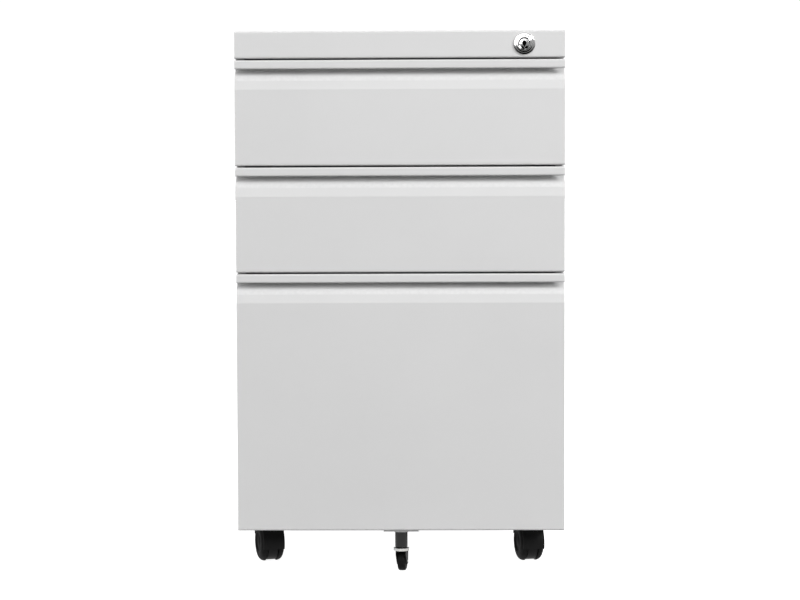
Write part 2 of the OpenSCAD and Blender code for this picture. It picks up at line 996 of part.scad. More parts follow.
top_cover();
left_side_panel();
side_panel();  // right_side_panel
back_panel();
base_pan();
left_upright();
upright();  // right_upright
cabinet_screws();
front_bumpers();
for (d = drawers) {
    outer_slides(d);
    middle_slides(d);
    inner_slides(d);
    drawer_front(d);
    backing_pan(d);
    drawer_tray(d);
    drawer_screws(d);
}
hanging_file_rails();
lock_housing();
lock_nut();
lock_plug();
lock_cam();
lock_bar();
lock_bar_guides();
castor_plates();
for (c = castors) {
    castor_hood(c);
    castor_axle(c);
    castor_wheel(c, -1);
    castor_wheel(c, 1);
}
fifth_castor_bracket();
fifth_castor_spacer();
fifth_castor_kingpin();
fifth_castor_fork();
fifth_castor_axle();
fifth_castor_wheel();
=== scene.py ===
"""Looks of the mobile steel pedestal: folded sheet metal, lock, castors, studio light and camera. Metres."""
import json
import math

import bmesh
import bpy
from mathutils import Matrix, Vector


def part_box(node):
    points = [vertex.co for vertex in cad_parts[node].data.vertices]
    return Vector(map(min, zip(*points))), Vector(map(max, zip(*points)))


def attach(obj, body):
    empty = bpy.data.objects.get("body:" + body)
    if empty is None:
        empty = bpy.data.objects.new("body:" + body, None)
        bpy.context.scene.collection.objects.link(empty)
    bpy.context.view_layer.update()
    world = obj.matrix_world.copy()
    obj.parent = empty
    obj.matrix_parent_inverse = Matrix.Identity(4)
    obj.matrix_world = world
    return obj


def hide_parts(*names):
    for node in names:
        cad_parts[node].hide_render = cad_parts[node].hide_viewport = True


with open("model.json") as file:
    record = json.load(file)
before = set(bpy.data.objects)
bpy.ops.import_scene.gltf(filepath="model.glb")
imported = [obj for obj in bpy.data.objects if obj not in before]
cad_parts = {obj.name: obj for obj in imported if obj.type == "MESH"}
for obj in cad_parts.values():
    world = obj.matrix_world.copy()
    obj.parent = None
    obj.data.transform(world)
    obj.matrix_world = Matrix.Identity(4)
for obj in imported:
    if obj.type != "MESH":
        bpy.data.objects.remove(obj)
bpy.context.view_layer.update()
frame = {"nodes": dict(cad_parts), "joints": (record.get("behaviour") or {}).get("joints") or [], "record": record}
nodes = frame["nodes"]
joints = {j["name"]: j for j in frame["joints"]}

MM = 0.001
DRAWERS = ["top_drawer", "middle_drawer", "file_drawer"]
CASTORS = ["front_left", "front_right", "rear_left", "rear_right"]

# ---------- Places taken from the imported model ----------

cover_low, cover_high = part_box("top_cover")
half_w = cover_high.x
front_y = cover_low.y
back_y = cover_high.y
cab_h = cover_high.z
fascia_z = cover_low.z
panel_low, panel_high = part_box("right_side_panel")
body_z = panel_low.z
flange_y = panel_low.y

sheet_t = 1 * MM
mid = sheet_t / 2
fold_r = 1.5 * MM
front_t = 18 * MM
side_in = half_w - sheet_t
seam = 0.06 * MM                # how far a closed end sits back from the sheet's own edge
end_w = 2 * MM                  # width of the strip at each end of a wide sheet that has points of its own

# Section of a drawer front, measured down from its top edge and back from its face
lip_h = 10.4 * MM               # height of the rolled lip
lip_t = 4 * MM                  # thickness of the rolled lip
hem_h = 8 * MM                  # how far the rolled sheet comes back up behind the lip
recess_h = 34.5 * MM            # down to the crease where the pull recess ends
wall_drop = 12 * MM             # down to the foot of the recess's back wall
floor_drop = 20.5 * MM          # down to the fold between the recess's floor and its slanted band
floor_y = 2.8 * MM              # depth of that fold behind the face
top_fold_r = 1.2 * MM
back_fold_r = 2 * MM
wall_fold_r = 3 * MM
band_fold_r = 10 * MM
crease_fold_r = 2 * MM


# ---------- Mesh helpers ----------

def fold_points(p, c, q, r, steps=8):
    """Points of a fold of radius r at corner c, between p and q."""
    a = (p - c).normalized()
    b = (q - c).normalized()
    half = math.acos(max(-1, min(1, a.dot(b)))) / 2
    middle = c + (a + b).normalized() * r / math.sin(half)
    start = c + a * r / math.tan(half) - middle
    end = c + b * r / math.tan(half) - middle
    points = []
    for i in range(steps + 1):
        points.append(middle + (start + (end - start) * i / steps).normalized() * r)
    return points


def folded(path, radii, keep=1.2 * MM):
    """A path with rounded corners, and for each point how much of an edge it is, from 0 to 1."""
    corners = [Vector(p) for p in path]
    points = [corners[0]]
    edge = [1.0]
    for i, r in enumerate(radii):
        p, c, q = corners[i:i + 3]
        arc = fold_points(p, c, q, r)
        before = arc[0] + (points[-1] - arc[0]).normalized() * keep
        if (points[-1] - arc[0]).length > 2.5 * keep:
            points.append(before)
            edge.append(0.0)
        points += arc
        edge += [0.0] + [1.0] * (len(arc) - 2) + [0.0]
        if (q - arc[-1]).length > 2.5 * keep:
            points.append(arc[-1] + (q - arc[-1]).normalized() * keep)
            edge.append(0.0)
    points.append(corners[-1])
    edge.append(1.0)
    return points, edge


def beside(points, d):
    """An open path moved sideways by d."""
    moved = []
    for i, p in enumerate(points):
        before = (points[max(i, 1)] - points[max(i, 1) - 1]).normalized()
        nxt = min(i, len(points) - 2)
        after = (points[nxt + 1] - points[nxt]).normalized()
        left = Vector((-before.y, before.x))
        m = left + Vector((-after.y, after.x))
        moved.append(p + m * d / m.dot(left))
    return moved


class Shape:
    """Vertices, faces and the edge value of each vertex, gathered before they become one piece."""

    def __init__(self):
        self.verts = []
        self.faces = []
        self.edge = []

    def add(self, verts, faces, edge=None):
        start = len(self.verts)
        self.verts += [Vector(v) for v in verts]
        self.faces += [[start + i for i in f] for f in faces]
        self.edge += edge if edge else [0.0] * len(verts)
        return self


def along_x(a, b, s):
    return Vector((s, a, b))


def along_z(a, b, s):
    return Vector((a, b, s))


def sheet(shape, path, radii, stations, place=along_x, t=sheet_t):
    """A folded sheet: the path is its centre-line, swept through the stations."""
    line, edge = folded(path, radii)
    left = beside(line, t / 2)
    right = beside(line, -t / 2)
    ring = left + right[::-1]
    marks = edge + edge[::-1]
    n = len(line)
    count = len(ring)
    verts = []
    values = []
    for k, s in enumerate(stations):
        verts += [place(p.x, p.y, s) for p in ring]
        outer = 1.0 if k in (0, len(stations) - 1) else 0.0
        values += [max(outer, m) for m in marks]
    faces = []
    for k in range(len(stations) - 1):
        a = k * count
        b = a + count
        for i in range(count):
            j = (i + 1) % count
            faces.append([a + i, a + j, b + j, b + i])
    for k in (0, (len(stations) - 1) * count):
        for i in range(n - 1):
            faces.append([k + i, k + i + 1, k + count - 2 - i, k + count - 1 - i])
    return shape.add(verts, faces, values)


def slab(shape, outline, lo, hi, place=along_x):
    """A flat plate with the given outline, between lo and hi."""
    n = len(outline)
    verts = [place(p[0], p[1], s) for s in (lo, hi) for p in outline]
    faces = [list(range(n)), list(range(2 * n - 1, n - 1, -1))]
    for i in range(n):
        j = (i + 1) % n
        faces.append([i, j, n + j, n + i])
    return shape.add(verts, faces)


def block(shape, low, high):
    outline = [(low[0], low[1]), (high[0], low[1]), (high[0], high[1]), (low[0], high[1])]
    return slab(shape, outline, low[2], high[2], along_z)


def lathe(shape, profile, centre, axis, segments=64, edge=None, arc=None, zero=None):
    """Turns a profile of (radius, place on the axis) round an axis; arc gives start and end angles."""
    axis = Vector(axis).normalized()
    across = Vector(zero) if zero else axis.orthogonal()
    across = (across - axis * across.dot(axis)).normalized()
    third = axis.cross(across)
    centre = Vector(centre)
    a0, a1 = arc if arc else (0, 2 * math.pi)
    rings = segments + 1 if arc else segments
    n = len(profile)
    verts = []
    values = []
    for k in range(rings):
        angle = a0 + (a1 - a0) * k / segments
        out = across * math.cos(angle) + third * math.sin(angle)
        verts += [centre + out * r + axis * h for r, h in profile]
        values += edge if edge else [0.0] * n
    faces = []
    for k in range(segments):
        a = k * n
        b = ((k + 1) % rings) * n
        for i in range(n if arc else n - 1):
            j = (i + 1) % n
            faces.append([a + i, a + j, b + j, b + i])
    if arc:
        faces.append(list(range(n)))
        faces.append([(rings - 1) * n + i for i in range(n)][::-1])
    return shape.add(verts, faces, values)


def piece(name, shape, body, material, replaced=(), bevel=0.0, angle=35, segments=2):
    """Makes a Blender object from a shape, with its material, its body and the CAD nodes it stands for."""
    mesh = bpy.data.meshes.new(name)
    mesh.from_pydata(shape.verts, [], shape.faces)
    values = mesh.attributes.new("edge", "FLOAT", "POINT")
    values.data.foreach_set("value", shape.edge)
    tidy = bmesh.new()
    tidy.from_mesh(mesh)
    bmesh.ops.remove_doubles(tidy, verts=tidy.verts, dist=1e-7)
    bmesh.ops.dissolve_degenerate(tidy, dist=1e-8, edges=tidy.edges)
    bmesh.ops.recalc_face_normals(tidy, faces=tidy.faces)
    tidy.to_mesh(mesh)
    tidy.free()
    mesh.polygons.foreach_set("use_smooth", [True] * len(mesh.polygons))
    mesh.set_sharp_from_angle(angle=math.radians(angle))
    obj = bpy.data.objects.new(name, mesh)
    bpy.context.scene.collection.objects.link(obj)
    mesh.materials.append(material)
    if bevel:
        soften(obj, bevel, segments=segments)
    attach(obj, body)
    if replaced:
        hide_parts(*replaced)
    return obj


def soften(obj, width, limit=50, segments=2):
    """Rounds the sharp edges of an object a little, as paint and moulding do."""
    bevel = obj.modifiers.new("soft_edges", "BEVEL")
    bevel.width = width
    bevel.segments = segments
    bevel.limit_method = "ANGLE"
    bevel.angle_limit = math.radians(limit)
    bevel.harden_normals = False
    bevel.use_clamp_overlap = True


# ---------- Material helpers ----------

def new_material(name):
    material = bpy.data.materials.new(name)
    material.use_nodes = True
    tree = material.node_tree
    return material, tree, tree.nodes["Principled BSDF"]


def add_node(tree, kind, inputs=None, **settings):
    made = tree.nodes.new("ShaderNode" + kind)
    for key, value in settings.items():
        setattr(made, key, value)
    for key, value in (inputs or {}).items():
        made.inputs[key].default_value = value
    return made


def noise(tree, scale, detail=2.0, rough=0.5, stretch=(1, 1, 1)):
    """A noise of the given scale in the object's own metres."""
    place = add_node(tree, "TexCoord")
    mapping = add_node(tree, "Mapping", {"Scale": stretch})
    made = add_node(tree, "TexNoise", {"Scale": scale, "Detail": detail, "Roughness": rough})
    tree.links.new(place.outputs["Object"], mapping.inputs["Vector"])
    tree.links.new(mapping.outputs["Vector"], made.inputs["Vector"])
    return made.outputs["Fac"]


def ranged(tree, value, low, high, start=0.3, end=0.7):
    made = add_node(
        tree, "MapRange", {"From Min": start, "From Max": end, "To Min": low, "To Max": high}
    )
    tree.links.new(value, made.inputs["Value"])
    return made.outputs["Result"]


def calc(tree, operation, a, b):
    made = add_node(tree, "Math", operation=operation)
    for i, v in enumerate((a, b)):
        if isinstance(v, (int, float)):
            made.inputs[i].default_value = v
        else:
            tree.links.new(v, made.inputs[i])
    return made.outputs[0]


def blended(tree, fac, a, b):
    """A colour between a and b."""
    made = add_node(tree, "Mix", data_type="RGBA")
    for name, v in (("A_Color", a), ("B_Color", b)):
        socket = next(s for s in made.inputs if s.identifier == name)
        if isinstance(v, tuple):
            socket.default_value = (*v, 1)
        else:
            tree.links.new(v, socket)
    tree.links.new(fac, made.inputs[0])
    return next(s for s in made.outputs if s.identifier == "Result_Color")


def bumped(tree, shader, height, strength, distance):
    made = add_node(tree, "Bump", {"Strength": strength, "Distance": distance})
    tree.links.new(height, made.inputs["Height"])
    tree.links.new(made.outputs["Normal"], shader.inputs["Normal"])


def edge_value(tree):
    return add_node(tree, "Attribute", attribute_name="edge").outputs["Fac"]


def grey(v, warm=0.0):
    return (v * (1 + warm), v, v * (1 - warm))


# ---------- Materials ----------

def powder_coat():
    """Fine matt powder coat: orange peel, faint unevenness, and a painted highlight that lightens the folds and
    sheet ends.
    """
    material, tree, shader = new_material("powder_coat_light_grey")
    uneven = ranged(tree, noise(tree, 6, 4, 0.6), 0, 1)
    paint = blended(tree, uneven, grey(0.672), grey(0.692))
    # Painted highlight: where the edge value is high, over the folds and at the sheet ends, the colour is
    # lightened towards grey 0.78 and the roughness is lowered a little.
    fold_highlight = calc(tree, "MULTIPLY", edge_value(tree), ranged(tree, noise(tree, 260, 3), 0.1, 0.55))
    colour = blended(tree, fold_highlight, paint, grey(0.78))
    tree.links.new(colour, shader.inputs["Base Color"])
    rough = ranged(tree, noise(tree, 45, 3), 0.40, 0.47)
    polish = calc(tree, "MULTIPLY", fold_highlight, 0.1)
    tree.links.new(calc(tree, "SUBTRACT", rough, polish), shader.inputs["Roughness"])
    shader.inputs["Specular IOR Level"].default_value = 0.45
    peel = noise(tree, 520, 2.5, 0.55)
    grain = noise(tree, 2600, 2.0, 0.6)
    height = calc(tree, "ADD", peel, calc(tree, "MULTIPLY", grain, 0.25))
    bumped(tree, shader, height, 0.35, 0.00006)
    return material


def zinc_plate():
    """Bright zinc: rolled metal grain with a faint blue and yellow passivation tint."""
    material, tree, shader = new_material("zinc_plated_steel")
    tint = ranged(tree, noise(tree, 60, 3), 0, 1)
    colour = blended(tree, tint, (0.70, 0.72, 0.75), (0.76, 0.75, 0.71))
    tree.links.new(colour, shader.inputs["Base Color"])
    shader.inputs["Metallic"].default_value = 1.0
    grain = noise(tree, 900, 2, 0.6, (1, 0.04, 1))
    tree.links.new(ranged(tree, grain, 0.26, 0.42), shader.inputs["Roughness"])
    bumped(tree, shader, grain, 0.25, 0.00003)
    return material


def chrome_plate():
    """Polished chrome with hairline wipe marks; where the edge value is 1, on the keyway's walls and floor, it is
    painted near-black as shade in the keyhole.
    """
    material, tree, shader = new_material("chrome_plate")
    inside = edge_value(tree)
    # Painted shade: inside the keyway (plated is 0 there) the colour is mixed to near-black, with no metal and
    # full roughness.
    plated = calc(tree, "SUBTRACT", 1.0, inside)
    haze = ranged(tree, noise(tree, 300, 3), 0, 1)
    plate = blended(tree, haze, grey(0.70), grey(0.76))
    tree.links.new(blended(tree, inside, plate, grey(0.004)), shader.inputs["Base Color"])
    tree.links.new(plated, shader.inputs["Metallic"])
    tree.links.new(calc(tree, "MULTIPLY", plated, 0.5), shader.inputs["Specular IOR Level"])
    wipe = noise(tree, 1400, 2, 0.5, (1, 1, 0.08))
    rough = ranged(tree, wipe, 0.045, 0.11)
    tree.links.new(calc(tree, "MAXIMUM", rough, inside), shader.inputs["Roughness"])
    bumped(tree, shader, wipe, 0.1, 0.00001)
    return material


def black_nylon(name, level, rough, gloss):
    """Moulded black nylon with fine grain; edges rub a little lighter."""
    material, tree, shader = new_material(name)
    cloud = ranged(tree, noise(tree, 120, 3), 0, 1)
    base = blended(tree, cloud, grey(level * 0.8), grey(level * 1.2))
    rub = calc(tree, "MULTIPLY", edge_value(tree), ranged(tree, noise(tree, 500, 3), 0, 0.5))
    tree.links.new(blended(tree, rub, base, grey(level * 4)), shader.inputs["Base Color"])
    tree.links.new(ranged(tree, noise(tree, 220, 3), rough, rough + 0.1), shader.inputs["Roughness"])
    shader.inputs["Specular IOR Level"].default_value = gloss
    bumped(tree, shader, noise(tree, 1900, 2.5, 0.6), 0.3, 0.00004)
    return material


def rubber():
    """Soft dull rubber."""
    material, tree, shader = new_material("soft_rubber")
    cloud = ranged(tree, noise(tree, 300, 3), 0, 1)
    tree.links.new(blended(tree, cloud, grey(0.02), grey(0.035)), shader.inputs["Base Color"])
    tree.links.new(ranged(tree, noise(tree, 700, 2), 0.7, 0.85), shader.inputs["Roughness"])
    bumped(tree, shader, noise(tree, 2200, 2), 0.3, 0.00004)
    return material


paint = powder_coat()
zinc = zinc_plate()
chrome = chrome_plate()
nylon = black_nylon("black_nylon", 0.0045, 0.42, 0.16)
tread = black_nylon("black_nylon_tread", 0.006, 0.55, 0.12)
dark_rubber = rubber()
finishes = {
    "powder_coat": paint,
    "zinc_plated_steel": zinc,
    "chrome_plate": chrome,
    "black_nylon": nylon,
    "rubber": dark_rubber,
}

# Every CAD node gets the finish of its slot
for part in frame["record"]["subparts"]:
    obj = nodes[part["node"]]
    obj.data.materials.clear()
    obj.data.materials.append(finishes[part["material_slot"]])
    obj.data.polygons.foreach_set("use_smooth", [True] * len(obj.data.polygons))
    obj.data.set_sharp_from_angle(angle=math.radians(30))


# ---------- Body shell ----------

def width_stations(inset=end_w):
    """Places along X at which a full-width sheet has a row of points."""
    return [-half_w, -half_w + inset, half_w - inset, half_w]


def outline_of(path, radii):
    """The points of a path with rounded corners, as plain pairs."""
    return [(p.x, p.y) for p in folded(path, radii)[0]]


def both_ends(shape, outline):
    """Closes the two ends of a folded box with plates just under a sheet thick."""
    slab(shape, outline, side_in, half_w - seam)
    slab(shape, outline, -half_w + seam, -side_in)


def top_cover():
    """Top plate with the fascia folded down in front, closed ends and a skirt inside each side."""
    shape = Shape()
    fascia_back = front_y + front_t
    face = front_y + mid
    path = [
        (fascia_back, fascia_z + mid),
        (face, fascia_z + mid),
        (face, cab_h - mid),
        (back_y, cab_h - mid),
    ]
    sheet(shape, path, [fold_r, fold_r], width_stations())
    end = path[:3] + [(fascia_back, cab_h - mid)]
    both_ends(shape, outline_of(end, [fold_r, fold_r]))
    inside_y = flange_y + 1.5 * sheet_t
    skirt_h = 19 * MM
    skirt_z = cab_h - skirt_h
    for side in (-1, 1):
        x = sorted((side * (side_in - sheet_t), side * (side_in - seam)))
        block(shape, (x[0], inside_y, skirt_z), (x[1], back_y - 3 * sheet_t, cab_h - mid))
    piece("top_cover_sheet", shape, "cabinet", paint, ["top_cover"], 0.2 * MM)


def side_panel(side, name, node):
    """Side panel: one sheet with a flange at the front, one at the back and one along the foot."""
    shape = Shape()
    outer = half_w - mid
    front_flange_w = 10 * MM
    back_flange_w = 15 * MM
    foot_w = 8 * MM
    back = back_y - 1.5 * sheet_t
    path = [
        (side * (half_w - front_flange_w), flange_y + mid),
        (side * outer, flange_y + mid),
        (side * outer, back),
        (side * (half_w - back_flange_w), back),
    ]
    low = body_z
    high = cab_h - sheet_t
    sheet(shape, path, [fold_r, fold_r], [low, low + end_w, high - end_w, high], along_z)
    x = sorted((side * (half_w - foot_w), side * outer))
    foot_low = (x[0], flange_y + 2 * sheet_t, low + seam)
    foot_high = (x[1], back_y - 2 * sheet_t, low + sheet_t)
    block(shape, foot_low, foot_high)
    piece(name, shape, "cabinet", paint, [node], 0.2 * MM)


def back_panel():
    """Flat sheet that closes the back."""
    shape = Shape()
    low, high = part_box("back_panel")
    block(shape, low, high)
    piece("back_panel_sheet", shape, "cabinet", paint, ["back_panel"], 0.3 * MM)


top_cover()
side_panel(-1, "left_panel_sheet", "left_side_panel")
side_panel(1, "right_panel_sheet", "right_side_panel")
back_panel()


# ---------- Drawer fronts ----------

def drawer_front(drawer):
    """Skin of a drawer front: rolled lip, pull recess, face and bottom flange from one sheet."""
    low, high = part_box(drawer + "_front")
    z = low.z
    h = high.z - low.z
    skin = front_t - sheet_t
    wall = skin - mid
    hem_r = (lip_t - sheet_t) / 2 - 0.2 * MM
    path = [
        (lip_t - mid, h - lip_h + hem_h),
        (lip_t - mid, h - lip_h + mid),
        (mid, h - lip_h + mid),
        (mid, h - mid),
        (wall, h - mid),
        (wall, h - wall_drop),
        (floor_y, h - floor_drop),
        (mid, h - recess_h),
        (mid, mid),
        (skin, mid),
    ]
    path = [(front_y + a, z + b) for a, b in path]
    radii = [hem_r, hem_r, top_fold_r, back_fold_r, wall_fold_r, band_fold_r, crease_fold_r, fold_r]
    shape = Shape()
    sheet(shape, path, radii, width_stations())
    end_rise = 5 * MM
    end_top = z + h - wall_drop + end_rise
    end = [(front_y + wall, end_top)] + path[5:]
    outline = outline_of(end, radii[4:]) + [(front_y + skin, end_top)]
    both_ends(shape, outline)
    piece(drawer + "_front_skin", shape, drawer, paint, [drawer + "_front"], 0.15 * MM)


for drawer in DRAWERS:
    drawer_front(drawer)


# ---------- Lock ----------

ring_low, ring_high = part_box("lock_housing")
plug_low, plug_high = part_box("lock_plug")
lock_centre = Vector(((ring_low.x + ring_high.x) / 2, 0, (ring_low.z + ring_high.z) / 2))
ring_r = (ring_high.x - ring_low.x) / 2
plug_r = (plug_high.x - plug_low.x) / 2
ring_face = ring_low.y
barrel_r = 9.5 * MM


def lock_ring():
    """Chrome ring: a rounded rim, a face that falls outward in shallow rounds, and the barrel behind."""
    bore = plug_r + 0.1 * MM
    proud = front_y - ring_face
    rim_w = 1.5 * MM
    rim_low = 0.9 * MM
    slope = 1.0 * MM
    ripple = 0.05 * MM
    rim_steps = 9
    face_steps = 24
    profile = [(ring_r, front_y)]
    for i in range(rim_steps + 1):
        angle = math.radians(90 * i / rim_steps)
        r = ring_r - rim_w * (1 - math.cos(angle))
        profile.append((r, front_y - rim_low - (proud - rim_low - slope) * math.sin(angle)))
    outer = ring_r - rim_w
    inner = bore + 0.3 * MM
    for i in range(1, face_steps + 1):
        t = i / face_steps
        y = ring_face + ripple + (slope - ripple) * (1 - t) - ripple * math.sin(4 * math.pi * t)
        profile.append((outer + (inner - outer) * t, y))
    profile += [(bore, ring_face + 0.4 * MM), (bore, ring_high.y)]
    profile += [(barrel_r, ring_high.y), (barrel_r, front_y), (ring_r, front_y)]
    shape = lathe(Shape(), profile, lock_centre, (0, 1, 0), 96)
    piece("lock_ring", shape, "cabinet", chrome, ["lock_housing"], 0.0, 32)


def keyway():
    """Outline of the keyway: a kite with a flat top."""
    corners = [(0, -4.4), (2.6, 0.6), (1.2, 3.4), (-1.2, 3.4), (-2.6, 0.6)]
    return [Vector((x * MM, z * MM)) for x, z in corners]


def lock_plug():
    """Plug with a domed face, a bevelled keyway and a square tail."""
    face_y = plug_low.y
    key = keyway()
    ring_points = []
    for i in range(len(key)):
        a, b = key[i], key[(i + 1) % len(key)]
        ring_points += [a + (b - a) * k / 8 for k in range(8)]
    count = len(ring_points)
    rim_w = 0.9 * MM
    edge_r = plug_r - rim_w
    dome = 1.0 * MM
    flare = 1.16                    # how much wider the keyway's bevel is than the keyway
    depth = front_y - face_y - 0.3 * MM
    loops = []
    loops.append([(p, face_y + depth) for p in ring_points])
    loops.append([(p, face_y + 0.5 * MM) for p in ring_points])
    loops.append([(p * flare, face_y + dome * (p.length * flare / plug_r) ** 2) for p in ring_points])
    for i in range(1, 9):
        t = i / 8
        loop = []
        for p in ring_points:
            start = p * flare
            goal = p.normalized() * edge_r
            spot = start + (goal - start) * t
            loop.append((spot, face_y + dome * (spot.length / plug_r) ** 2))
        loops.append(loop)
    for i in range(1, 6):
        t = i / 5
        r = edge_r + rim_w * math.sin(t * math.pi / 2)
        y = face_y + dome + 0.5 * MM * (1 - math.cos(t * math.pi / 2))
        loops.append([(p.normalized() * r, y) for p in ring_points])
    loops.append([(p.normalized() * plug_r, ring_high.y + 0.1 * MM) for p in ring_points])
    verts = []
    for loop in loops:
        verts += [Vector((lock_centre.x + p.x, y, lock_centre.z + p.y)) for p, y in loop]
    faces = []
    for k in range(len(loops) - 1):
        for i in range(count):
            j = (i + 1) % count
            faces.append([k * count + i, k * count + j, (k + 1) * count + j, (k + 1) * count + i])
    faces.append(list(range(count)))
    last = (len(loops) - 1) * count
    faces.append([last + i for i in range(count)])
    # The keyway's walls and floor get edge value 1, which the chrome paints near-black as painted shade in the
    # keyhole.
    inside = [1.0 if k < 2 else 0.0 for k in range(len(loops)) for _ in range(count)]
    shape = Shape().add(verts, faces, inside)
    tail = 3 * MM
    block(
        shape,
        (lock_centre.x - tail, ring_high.y, lock_centre.z - tail),
        (lock_centre.x + tail, plug_high.y, lock_centre.z + tail),
    )
    piece("lock_plug_face", shape, "lock_plug", chrome, ["lock_plug"], 0.0, 40)


lock_ring()
lock_plug()

# ---------- Main castors ----------

wheel_r = 24 * MM
castor_w = 29.5 * MM            # over both wheels
wheel_in = 6.9 * MM             # from the middle of the castor to a wheel's inner face
dome_r = 7.5 * MM               # radius of a wheel's shoulder
web_r = wheel_r - 1.2 * MM
web_w = 12.8 * MM
hood_r = (25 * MM, 27 * MM)     # inside and outside
hood_w = castor_w - 2.4 * MM
stem_r = 4.1 * MM               # hole for the swivel stem
collar_z = 49.5 * MM


def castor_frame(castor):
    """Centre of the axle, direction of the axle, swivel centre."""
    roll = joints[castor + "_castor_right_wheel_roll"]
    swivel = joints[castor + "_castor_swivel"]
    return Vector(roll["pos_m"]), Vector(roll["axis"]), Vector(swivel["pos_m"])


def castor_wheel(castor, side, name):
    """A wheel: tread with a rounded shoulder, a fine groove, and a stepped dish in its face."""
    centre, axis, _ = castor_frame(castor)
    out = castor_w / 2
    bore = 2.6 * MM
    boss_r = 5 * MM
    rim_r = 20 * MM                 # inside of the hollow rim
    dish = out - 1.2 * MM
    hub = out - 0.8 * MM
    pit = out - 2 * MM
    point = 0.01 * MM               # stands for the axis, where a turned profile closes
    profile = [(bore, wheel_in), (boss_r, wheel_in), (boss_r, out - 4 * MM), (rim_r, out - dome_r)]
    profile += [(rim_r, wheel_in), (wheel_r - 0.8 * MM, wheel_in)]
    profile += [(wheel_r - 0.2 * MM, wheel_in + 0.3 * MM)]
    shoulder = fold_points(
        Vector((wheel_r, wheel_in)), Vector((wheel_r, out)), Vector((0, out)), dome_r, 14
    )
    profile += [(p.x, p.y) for p in shoulder]
    profile += [(12.4 * MM, out), (12 * MM, out - 0.25 * MM), (11.6 * MM, out - 1.0 * MM)]
    profile += [(11 * MM, dish), (6.2 * MM, dish), (5.8 * MM, out - 0.9 * MM), (point, hub)]
    profile += [(point, pit), (bore, pit), (bore, wheel_in)]
    shape = lathe(Shape(), profile, centre, axis * side, 72)
    node = f"{castor}_castor_{name}_wheel"
    piece(node + "_tyre", shape, node, tread, [node], 0.0, 40)


def hood_shell(shape, centre, axis, forward):
    """The curved shell over both wheels, the web between them and the rib that joins the two."""
    half = hood_w / 2
    r0, r1 = hood_r
    round_r = 1.6 * MM
    chamfer = 0.4 * MM
    lead = 0.3 * MM
    outer = fold_points(Vector((r0, half)), Vector((r1, half)), Vector((r1, 0)), round_r, 6)
    inner = [(r0, -half + chamfer), (r0, half - chamfer), (r0 + lead, half)]
    right = [(p.x, p.y) for p in outer]
    left = [(p.x, -p.y) for p in outer][::-1]
    profile = inner + right + left + [(r0 + lead, -half)]
    slant = math.radians(14)
    arc = (-slant, math.pi - slant)
    if axis.cross(forward).z < 0:
        arc = (slant, -math.pi + slant)
    lathe(shape, profile, centre, axis, 40, arc=arc, zero=forward)
    side = web_w / 2
    soft = 0.6 * MM
    point = 0.01 * MM
    web = [(point, -side), (web_r - soft, -side), (web_r, -side + soft)]
    web += [(web_r, side - soft), (web_r - soft, side), (point, side)]
    lathe(shape, web, centre, axis, 64)
    rib_r = 19 * MM
    reach = r0 + 0.5 * MM
    rib = [(rib_r, -side), (reach, -side), (reach, side), (rib_r, side)]
    lathe(shape, rib, centre, axis, 40, arc=arc, zero=forward)


def castor_hood(castor):
    """Hood over both wheels: shell, web, neck and collar."""
    centre, axis, swivel = castor_frame(castor)
    node = castor + "_castor_hood"
    foot = Vector((swivel.x, swivel.y, 0))
    forward = (foot - Vector((centre.x, centre.y, 0))).normalized()
    up = Vector((0, 0, 1))
    shape = Shape()
    hood_shell(shape, centre, axis, forward)
    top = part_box(node)[1].z
    collar_r = 12 * MM
    chamfer = 0.8 * MM
    collar = [(stem_r, collar_z), (collar_r - chamfer, collar_z), (collar_r, collar_z + chamfer)]
    collar += [(collar_r, top - chamfer), (collar_r - chamfer, top), (stem_r, top), (stem_r, collar_z)]
    lathe(shape, collar, foot, up, 64)
    neck_r = 6.5 * MM
    neck_z = 28 * MM
    floor_z = 31.5 * MM             # bottom of the stem's hole
    point = 0.01 * MM
    neck = [(stem_r, floor_z), (stem_r, 50 * MM), (neck_r, 50 * MM), (neck_r, neck_z + 1 * MM)]
    neck += [(neck_r - 1 * MM, neck_z), (point, neck_z), (point, floor_z), (stem_r, floor_z)]
    lathe(shape, neck, foot, up, 48)
    piece(node + "_shell", shape, castor + "_castor", nylon, [node], 0.0, 40)


for castor in CASTORS:
    castor_hood(castor)
    castor_wheel(castor, -1, "left")
    castor_wheel(castor, 1, "right")


# ---------- Fifth castor ----------

def fifth_castor_spacer():
    """Glossy black block under the bracket, with a softly domed lower end."""
    low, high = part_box("fifth_castor_spacer")
    x, y = (low.x + high.x) / 2, (low.y + high.y) / 2
    r = (high.x - low.x) / 2
    profile = [(0.01 * MM, low.z), (r - 2.5 * MM, low.z)]
    corner = fold_points(Vector((0, low.z)), Vector((r, low.z)), Vector((r, high.z)), 2.2 * MM, 6)
    profile += [(p.x, p.y) for p in corner]
    profile += [(r, high.z - 0.4 * MM), (r - 0.4 * MM, high.z), (0.01 * MM, high.z)]
    shape = lathe(Shape(), profile, (x, y, 0), (0, 0, 1), 72)
    gloss = black_nylon("black_nylon_glossy", 0.004, 0.14, 0.5)
    piece("fifth_castor_spacer_body", shape, "file_drawer", gloss, ["fifth_castor_spacer"])


def fifth_castor_wheel():
    """Small solid wheel with a rounded tread and a recessed hub on each face."""
    roll = joints["fifth_castor_wheel_roll"]
    low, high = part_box("fifth_castor_wheel")
    r = (high.z - low.z) / 2
    half = 4.8 * MM
    side = [(1.6 * MM, half - 0.6 * MM), (3.2 * MM, half - 0.6 * MM), (3.6 * MM, half)]
    shoulder = fold_points(Vector((0, half)), Vector((r, half)), Vector((r, -half)), 2.5 * MM, 8)
    side += [(p.x, p.y) for p in shoulder]
    profile = side + [(a, -b) for a, b in side[::-1]] + [side[0]]
    shape = lathe(Shape(), profile, roll["pos_m"], roll["axis"], 72)
    node = "fifth_castor_wheel"
    piece("fifth_castor_tyre", shape, node, tread, [node], 0, 40)


fifth_castor_spacer()
fifth_castor_wheel()

# ---------- CAD nodes that stay: softened edges ----------

